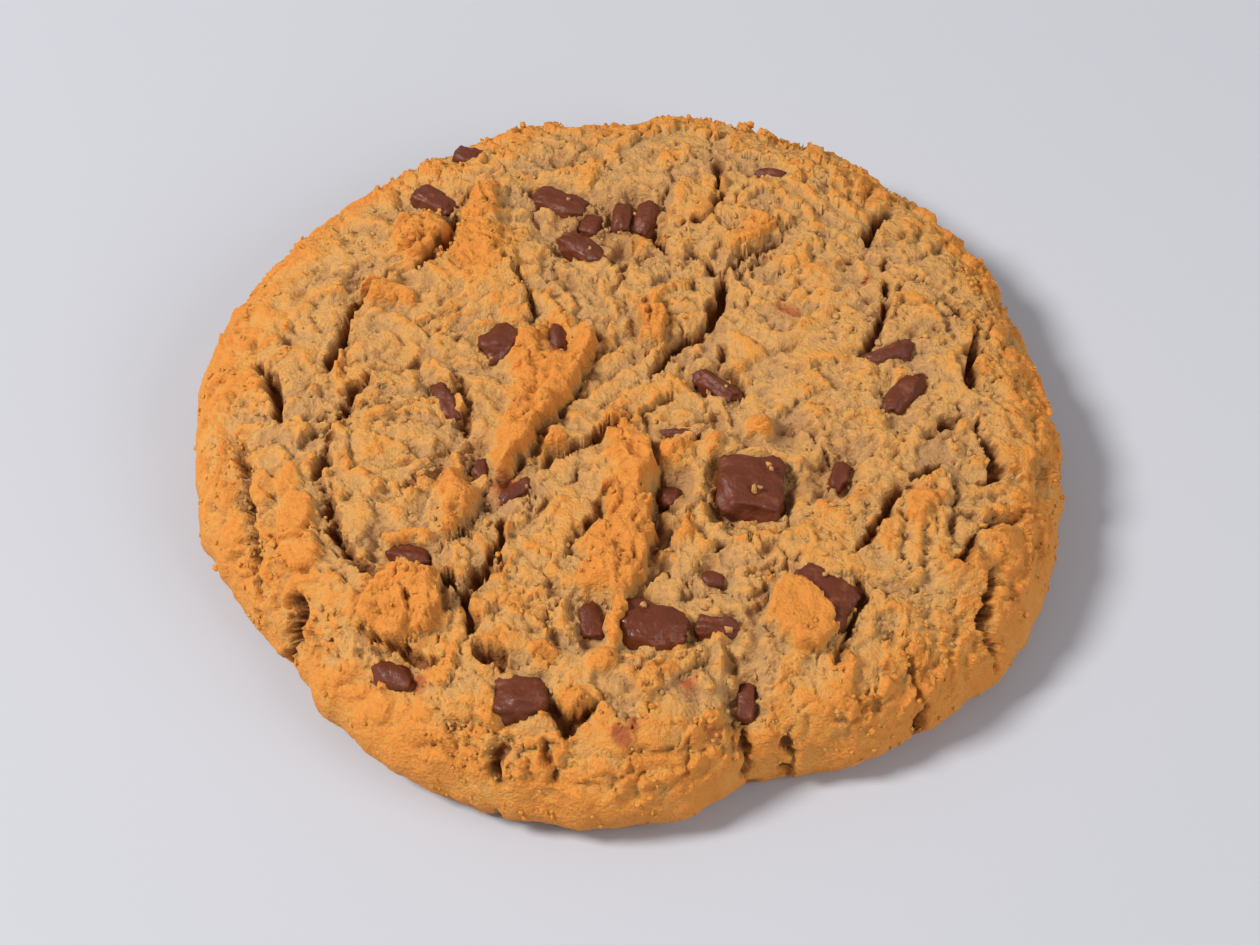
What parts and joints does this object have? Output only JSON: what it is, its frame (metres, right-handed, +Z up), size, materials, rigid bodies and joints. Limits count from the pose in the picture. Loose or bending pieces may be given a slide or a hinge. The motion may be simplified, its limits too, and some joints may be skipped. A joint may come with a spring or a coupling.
{
  "type": "cookie",
  "caption": "Large round soft-baked cookie with a cracked, crumbly golden top, a browned rim, a flat base and chunks of dark chocolate sunk into the dough.",
  "frame": {"origin": "middle of the flat base, under the middle of the cookie's outline", "axes": "+Z up out of the cracked top, +X to the right and +Y away from the side that the picture is taken from"},
  "size_m": [0.0982, 0.0984, 0.0178],
  "materials": {
    "dough": "dry baked crumb, golden to beige, browner at the rim",
    "chocolate": "satin milk chocolate"
  },
  "bodies": {
    "root": {"dough": "dough", "chunk_square_middle": "chocolate", "chunk_square_front": "chocolate", "chunk_melted_front": "chocolate", "chunk_slab_front": "chocolate", "chunk_front_left": "chocolate", "chunk_crevice": "chocolate", "chunk_left_slit": "chocolate", "chunk_left_middle": "chocolate", "chunk_back_left": "chocolate", "chunk_back_long": "chocolate", "chunk_back_low": "chocolate", "chunk_centre_right": "chocolate", "chunk_right_upper": "chocolate", "chunk_right_lower": "chocolate"}
  },
  "joints": []
}
